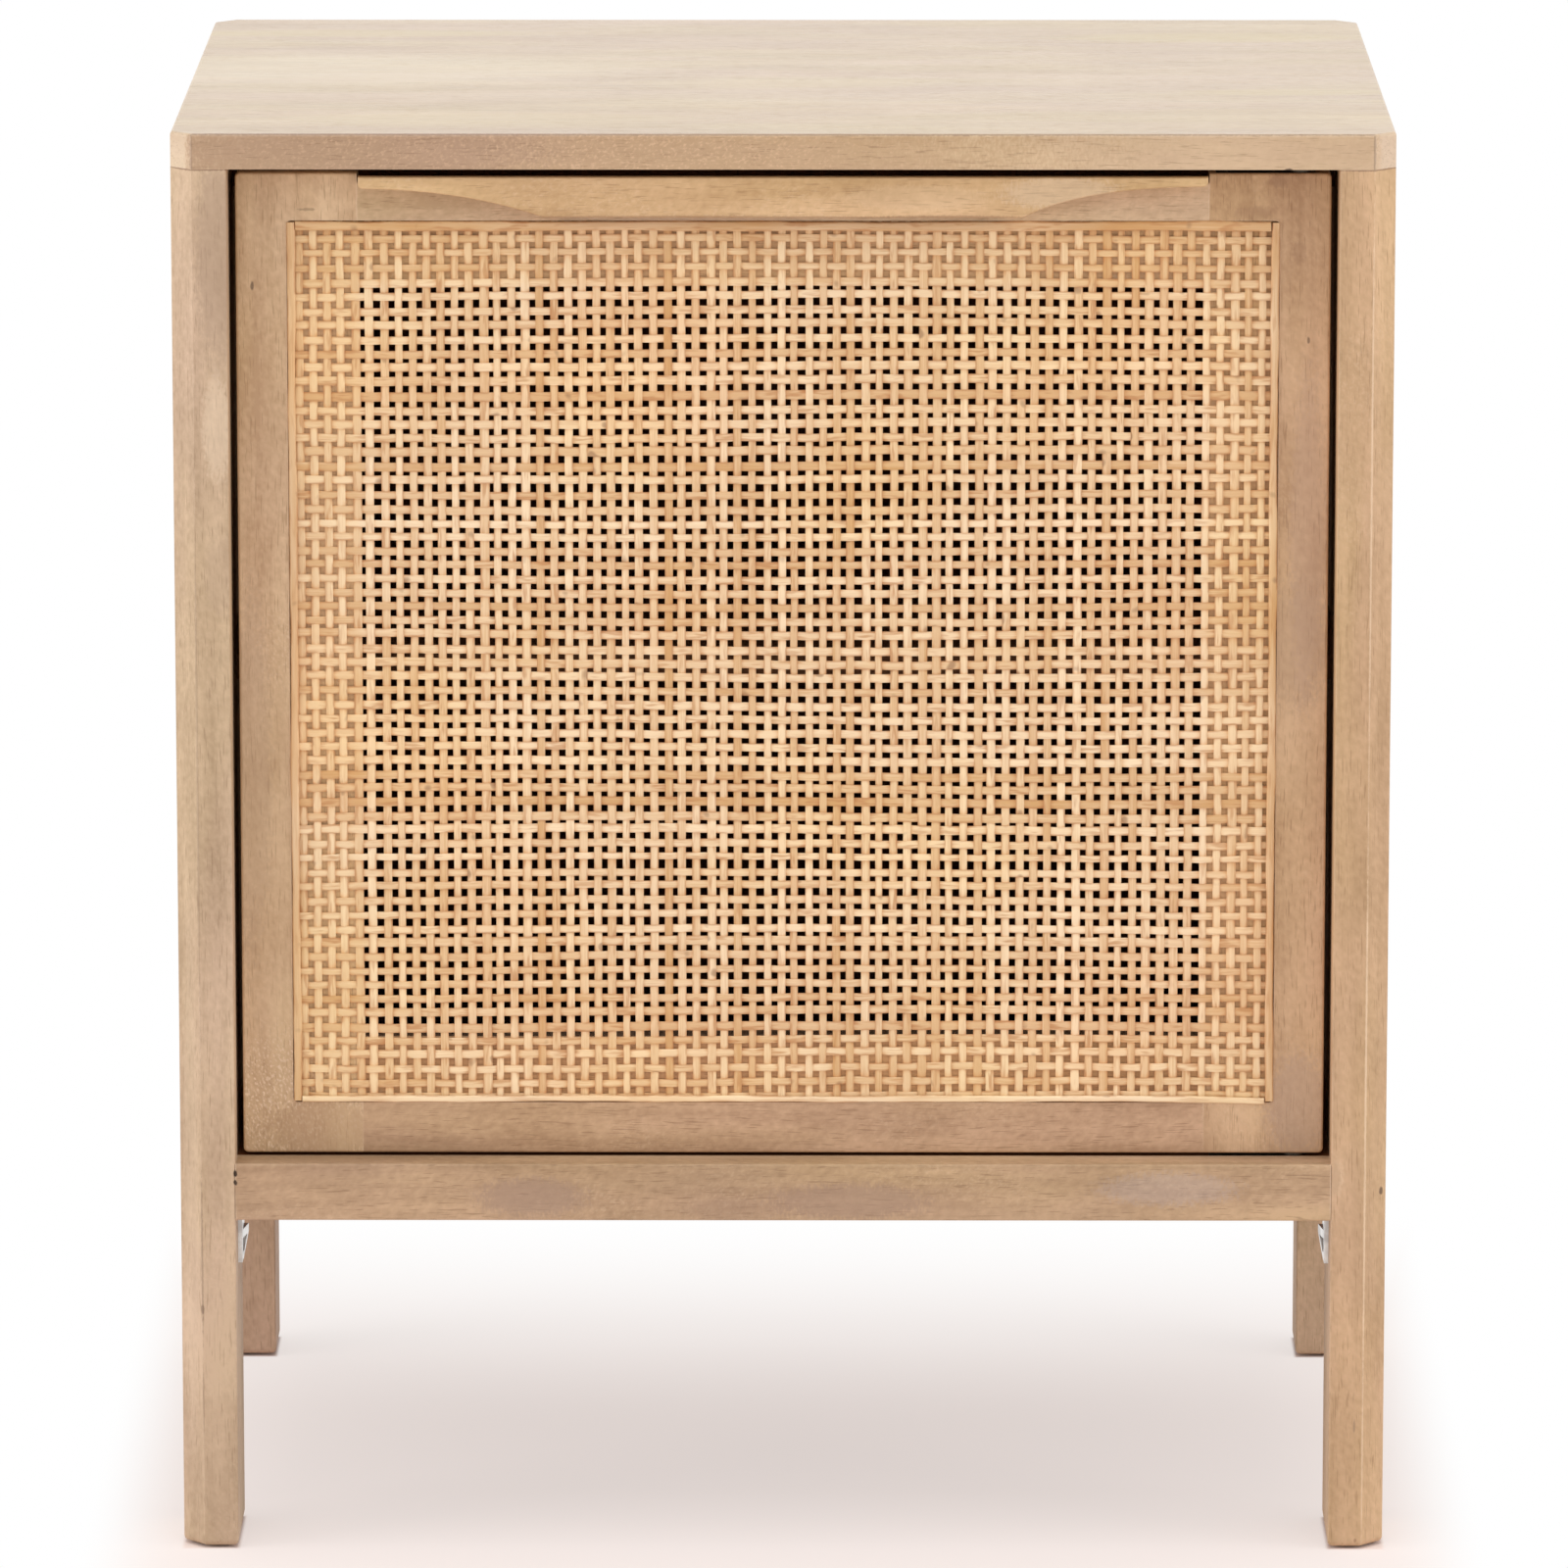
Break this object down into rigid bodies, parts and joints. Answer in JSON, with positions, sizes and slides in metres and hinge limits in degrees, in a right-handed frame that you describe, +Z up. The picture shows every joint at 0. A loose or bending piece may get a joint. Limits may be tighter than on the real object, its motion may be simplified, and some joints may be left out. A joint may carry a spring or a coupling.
{
  "type": "storage side table",
  "caption": "Low wooden storage table on legs with a woven cane door on concealed hinges, a carved pull along the door's top, and a shelf inside.",
  "frame": {"origin": "on the floor under the middle of the case", "axes": "+X to the right for someone facing the door, +Y from the door towards the back, +Z up"},
  "size_m": [0.552, 0.406, 0.656],
  "materials": {
    "case_wood": "matt oiled hardwood with open grain",
    "door_wood": "matt oiled hardwood with open grain",
    "pull_wood": "matt oiled hardwood, a little paler",
    "bead_wood": "matt oiled hardwood strip",
    "inner_wood": "plain matt board",
    "dowel_wood": "plain turned hardwood",
    "woven_cane": "split cane in a plain weave, satin",
    "steel": "bright zinc plated",
    "nylon": "moulded, matt",
    "magnet": "ground magnet, dull"
  },
  "bodies": {
    "case": {"back_panel": "inner_wood", "back_panel_screws": "steel", "bottom_cleat_left": "inner_wood", "bottom_cleat_right": "inner_wood", "bottom_panel": "inner_wood", "bracket_screws": "steel", "catch_housing": "nylon", "catch_magnet": "magnet", "catch_screws": "steel", "cleat_screws": "steel", "front_bracket_left": "steel", "front_bracket_right": "steel", "front_leg_left": "case_wood", "front_leg_right": "case_wood", "front_rail": "case_wood", "glides": "nylon", "hinge_bottom_case_leaf": "steel", "hinge_case_screws": "steel", "hinge_pins": "steel", "hinge_spacers": "steel", "hinge_top_case_leaf": "steel", "leg_dowels": "dowel_wood", "rail_dowels": "dowel_wood", "rear_bracket_left": "steel", "rear_bracket_right": "steel", "rear_leg_left": "case_wood", "rear_leg_right": "case_wood", "rear_rail": "case_wood", "rear_top_rail": "case_wood", "shelf": "inner_wood", "shelf_pins": "steel", "side_panel_left": "case_wood", "side_panel_right": "case_wood", "top_cleat_left": "inner_wood", "top_cleat_right": "inner_wood", "top_panel": "case_wood"},
    "door": {"door_stile_left": "door_wood", "door_stile_right": "door_wood", "door_rail_top": "door_wood", "door_rail_bottom": "door_wood", "door_pull": "pull_wood", "cane_panel": "woven_cane", "bead_top": "bead_wood", "bead_bottom": "bead_wood", "bead_left": "bead_wood", "bead_right": "bead_wood", "hinge_top_door_leaf": "steel", "hinge_bottom_door_leaf": "steel", "hinge_door_screws": "steel", "catch_strike": "steel", "strike_screw": "steel"}
  },
  "joints": [
    {"name": "door_hinge", "type": "hinge", "parent": "case", "child": "door", "pos_m": [0.2344, -0.178, 0], "axis": [0, 0, 1], "range_deg": [0, 105]}
  ]
}
